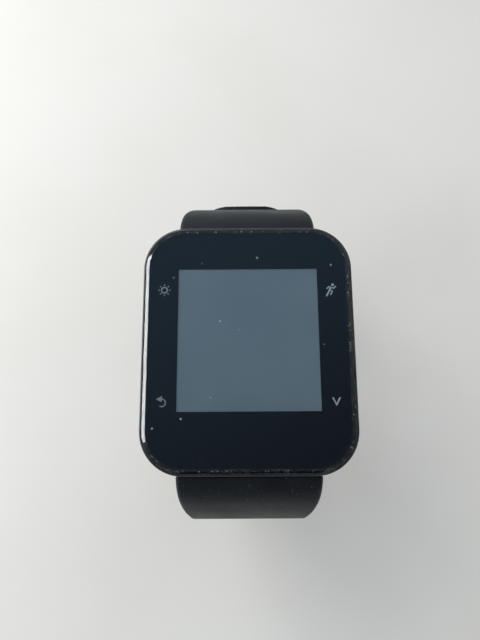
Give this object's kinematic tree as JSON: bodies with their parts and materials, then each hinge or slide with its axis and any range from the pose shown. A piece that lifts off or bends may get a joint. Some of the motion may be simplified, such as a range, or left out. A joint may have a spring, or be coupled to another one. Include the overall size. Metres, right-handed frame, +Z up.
{
  "type": "gps running watch",
  "caption": "Rectangular sports watch with a bevelled glass face, side buttons, optical back sensor and a silicone strap buckled into a closed loop.",
  "frame": {"origin": "bottom centre of the whole watch, on the surface that the closed strap loop stands on", "axes": "+X to 3 o'clock, +Y to 12 o'clock, +Z up out of the face"},
  "size_m": [0.0364, 0.0654, 0.058],
  "materials": {
    "lens_glass": "polished, bevelled edge",
    "mask_ink": "black print behind the glass",
    "tape": "black foam tape",
    "display": "reflective grey-blue LCD, off",
    "guide": "clear light guide with white backing",
    "case_plastic": "satin black moulded plastic",
    "cover_plastic": "fine matt black moulded plastic",
    "button_plastic": "satin black",
    "strap_silicone": "matt black silicone, dusty",
    "buckle_metal": "black coated steel",
    "bar_steel": "plain",
    "screw_steel": "black oxide",
    "seal_rubber": "soft",
    "clip_steel": "sprung",
    "sensor_glass": "dark polished",
    "sensor_parts": "moulded",
    "led_green": "cast resin",
    "contact_gold": "gold plated",
    "circuit_board": "solder mask",
    "flex_film": "amber film",
    "chip_epoxy": "moulded",
    "shield_tin": "tin plated",
    "ceramic": "fired",
    "chassis_plastic": "glass filled",
    "battery_foil": "laminated pouch",
    "motor_steel": "drawn can"
  },
  "bodies": {
    "root": {"battery": "battery_foil", "battery_foam": "tape", "battery_tab": "shield_tin", "bluetooth_antenna": "ceramic", "board_chips": "chip_epoxy", "buzzer": "contact_gold", "case_gasket": "seal_rubber", "charging_pins": "contact_gold", "chassis": "chassis_plastic", "display_flex": "flex_film", "display_panel": "display", "display_socket": "chip_epoxy", "fixed_keeper": "strap_silicone", "gps_antenna": "ceramic", "green_leds": "led_green", "key_flex_left": "flex_film", "key_flex_right": "flex_film", "key_switches_left": "shield_tin", "key_switches_right": "shield_tin", "lens": "lens_glass", "lens_mask": "mask_ink", "lens_tape": "tape", "light_baffle": "sensor_parts", "light_guide": "guide", "long_strap": "strap_silicone", "lower_strap_screws": "screw_steel", "lower_strap_tube": "bar_steel", "main_board": "circuit_board", "mid_case": "case_plastic", "photodiode": "chip_epoxy", "rear_cover": "cover_plastic", "rear_screws": "screw_steel", "sensor_board": "circuit_board", "sensor_window": "sensor_glass", "shield_can": "shield_tin", "short_strap": "strap_silicone", "spring_bar_spring": "bar_steel", "spring_bar_tips": "bar_steel", "spring_bar_tube": "bar_steel", "upper_strap_screws": "screw_steel", "upper_strap_tube": "bar_steel", "vibration_motor": "motor_steel"},
    "sliding_keeper": {"sliding_keeper": "strap_silicone"},
    "buckle_frame": {"buckle_frame": "buckle_metal"},
    "buckle_tongue": {"buckle_tongue": "buckle_metal"},
    "motor_weight": {"vibration_weight": "motor_steel"},
    "light_button": {"light_button": "button_plastic", "light_button_seal": "seal_rubber", "light_button_clip": "clip_steel"},
    "back_button": {"back_button": "button_plastic", "back_button_seal": "seal_rubber", "back_button_clip": "clip_steel"},
    "run_button": {"run_button": "button_plastic", "run_button_seal": "seal_rubber", "run_button_clip": "clip_steel"},
    "down_button": {"down_button": "button_plastic", "down_button_seal": "seal_rubber", "down_button_clip": "clip_steel"}
  },
  "joints": [
    {"name": "light_press", "type": "slide", "parent": "root", "child": "light_button", "axis": [1, 0, 0], "range_m": [0, 0.0004], "stiffness_N_per_m": 2000},
    {"name": "back_press", "type": "slide", "parent": "root", "child": "back_button", "axis": [1, 0, 0], "range_m": [0, 0.0004], "stiffness_N_per_m": 2000},
    {"name": "run_press", "type": "slide", "parent": "root", "child": "run_button", "axis": [-1, 0, 0], "range_m": [0, 0.0004], "stiffness_N_per_m": 2000},
    {"name": "down_press", "type": "slide", "parent": "root", "child": "down_button", "axis": [-1, 0, 0], "range_m": [0, 0.0004], "stiffness_N_per_m": 2000},
    {"name": "keeper_slide", "type": "hinge", "parent": "root", "child": "sliding_keeper", "pos_m": [0, 0, 0.0337], "axis": [1, 0, 0], "range_deg": [-28, 28]},
    {"name": "buckle_swing", "type": "hinge", "parent": "root", "child": "buckle_frame", "pos_m": [0, 0, 0.0049], "axis": [1, 0, 0], "range_deg": [0, 4]},
    {"name": "tongue_swing", "type": "hinge", "parent": "buckle_frame", "child": "buckle_tongue", "pos_m": [0, 0, 0.0049], "axis": [1, 0, 0], "range_deg": [0, 5]},
    {"name": "motor_spin", "type": "hinge", "parent": "root", "child": "motor_weight", "pos_m": [0, 0.0137, 0.04925], "axis": [1, 0, 0], "continuous": true}
  ]
}
